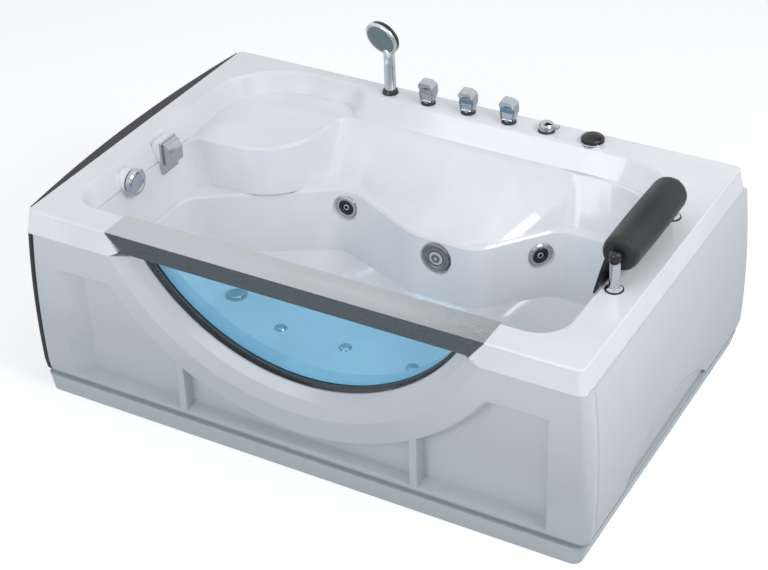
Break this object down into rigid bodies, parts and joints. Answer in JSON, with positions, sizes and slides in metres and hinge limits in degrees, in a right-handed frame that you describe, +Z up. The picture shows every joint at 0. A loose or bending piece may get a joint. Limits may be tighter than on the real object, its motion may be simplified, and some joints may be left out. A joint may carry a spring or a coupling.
{
  "type": "jetted bathtub",
  "caption": "Rectangular hydromassage bath with a half-moon window in its front skirt, a corner seat, body jets, a head pillow, deck taps and a hand shower.",
  "frame": {"origin": "on the floor under the middle of the rim", "axes": "+X runs to the head end with the pillow, +Y to the back deck with the taps, +Z up"},
  "size_m": [1.7688, 1.12, 0.8571],
  "materials": {
    "acrylic": "gloss",
    "skirt": "satin",
    "black_rubber": "matte",
    "glass": "clear",
    "lens": "clear",
    "steel": "brushed",
    "galvanised": "satin",
    "zinc": "satin",
    "plywood": "sealed",
    "chrome": "mirror",
    "black_plastic": "satin",
    "grey_plastic": "satin",
    "pvc": "satin",
    "brass": "satin",
    "motor_paint": "satin",
    "board_mask": "satin",
    "polyurethane": "grained"
  },
  "bodies": {
    "tub": {"tub_shell": "acrylic", "front_skirt": "skirt", "end_skirt": "skirt", "wall_seal": "black_rubber", "window_glass": "glass", "window_seal": "black_rubber", "steel_trim": "steel", "long_rails": "galvanised", "cross_rails": "galvanised", "frame_posts": "galvanised", "levelling_feet": "zinc", "foot_nuts": "zinc", "base_board": "plywood", "machine_boards": "plywood", "jet_housings": "chrome", "back_nuts": "black_plastic", "lamp_bezel": "chrome", "lamp_lens": "lens", "lamp_body": "board_mask", "floor_jets": "chrome", "floor_jet_nuts": "black_plastic", "drain_body": "chrome", "waste_pipe": "pvc", "overflow_body": "black_plastic", "overflow_pipe": "pvc", "filler_spout": "chrome", "suction_cover": "chrome", "suction_body": "black_plastic", "suction_pipe": "pvc", "pump_wet_end": "black_plastic", "pump_motor": "motor_paint", "water_manifold": "pvc", "air_manifold": "pvc", "air_blower": "black_plastic", "blower_pipe": "pvc", "control_box": "grey_plastic", "air_tube": "pvc", "deck_bases": "black_plastic", "tap_valves": "brass", "supply_pipes": "brass", "filler_pipe": "pvc", "button_housing": "chrome", "button_bellows": "black_rubber", "shower_holder": "black_plastic", "pillow_stand": "chrome"},
    "jet_1_face": {"jet_ring_1": "black_plastic"},
    "jet_1_ball": {"jet_nozzle_1": "chrome"},
    "jet_2_face": {"jet_ring_2": "black_plastic"},
    "jet_2_ball": {"jet_nozzle_2": "chrome"},
    "overflow_dial": {"overflow_knob": "chrome"},
    "plug": {"drain_plug": "chrome"},
    "diverter": {"diverter_handle": "chrome"},
    "cold_tap": {"cold_handle": "chrome"},
    "hot_tap": {"hot_handle": "chrome"},
    "air_regulator": {"air_regulator_knob": "chrome"},
    "button": {"button_cap": "black_plastic"},
    "hand_shower": {"handset": "chrome", "spray_face": "grey_plastic"},
    "headrest": {"pillow": "polyurethane"},
    "impeller": {"pump_impeller": "brass"}
  },
  "joints": [
    {"name": "jet_1_turn", "type": "hinge", "parent": "tub", "child": "jet_1_face", "pos_m": [-0.287, 0.246, 0.341], "axis": [0, -1, 0], "range_deg": [0, 90]},
    {"name": "jet_1_aim", "type": "hinge", "parent": "jet_1_face", "child": "jet_1_ball", "pos_m": [-0.287, 0.25, 0.341], "axis": [1, 0, 0], "range_deg": [-15, 15]},
    {"name": "jet_2_turn", "type": "hinge", "parent": "tub", "child": "jet_2_face", "pos_m": [0.347, 0.281, 0.328], "axis": [0.7759, -0.6309, 0], "range_deg": [0, 90]},
    {"name": "jet_2_aim", "type": "hinge", "parent": "jet_2_face", "child": "jet_2_ball", "pos_m": [0.3439, 0.28352, 0.328], "axis": [0, 0, 1], "range_deg": [-15, 15]},
    {"name": "overflow_turn", "type": "hinge", "parent": "tub", "child": "overflow_dial", "pos_m": [-0.744, -0.212, 0.557], "axis": [1, 0, 0], "range_deg": [0, 100]},
    {"name": "plug_lift", "type": "slide", "parent": "tub", "child": "plug", "axis": [0, 0, 1], "range_m": [0, 0.01]},
    {"name": "diverter_turn", "type": "hinge", "parent": "tub", "child": "diverter", "pos_m": [-0.133, 0.497, 0.63], "axis": [0, 0, 1], "range_deg": [0, 90]},
    {"name": "cold_turn", "type": "hinge", "parent": "tub", "child": "cold_tap", "pos_m": [0.003, 0.497, 0.63], "axis": [0, 0, 1], "range_deg": [0, 90]},
    {"name": "hot_turn", "type": "hinge", "parent": "tub", "child": "hot_tap", "pos_m": [0.139, 0.497, 0.63], "axis": [0, 0, 1], "range_deg": [0, 90]},
    {"name": "air_regulator_turn", "type": "hinge", "parent": "tub", "child": "air_regulator", "pos_m": [0.262, 0.497, 0.63], "axis": [0, 0, 1], "range_deg": [0, 90]},
    {"name": "button_press", "type": "slide", "parent": "tub", "child": "button", "axis": [0, 0, -1], "range_m": [0, 0.005], "stiffness_N_per_m": 400, "springref_m": -0.01, "deforming": ["button_bellows"]},
    {"name": "hand_shower_lift", "type": "slide", "parent": "tub", "child": "hand_shower", "axis": [0, 0, 1], "range_m": [0, 0.04]},
    {"name": "headrest_tilt", "type": "hinge", "parent": "tub", "child": "headrest", "pos_m": [0.773, 0.01, 0.707], "axis": [0, 1, 0], "range_deg": [-30, 30]},
    {"name": "impeller_spin", "type": "hinge", "parent": "tub", "child": "impeller", "pos_m": [0.6, 0.43, 0.19], "axis": [1, 0, 0], "continuous": true}
  ],
  "couplings": [
    {"joint": "plug_lift", "follows": "overflow_turn", "m_per_rad": 0.00573}
  ]
}
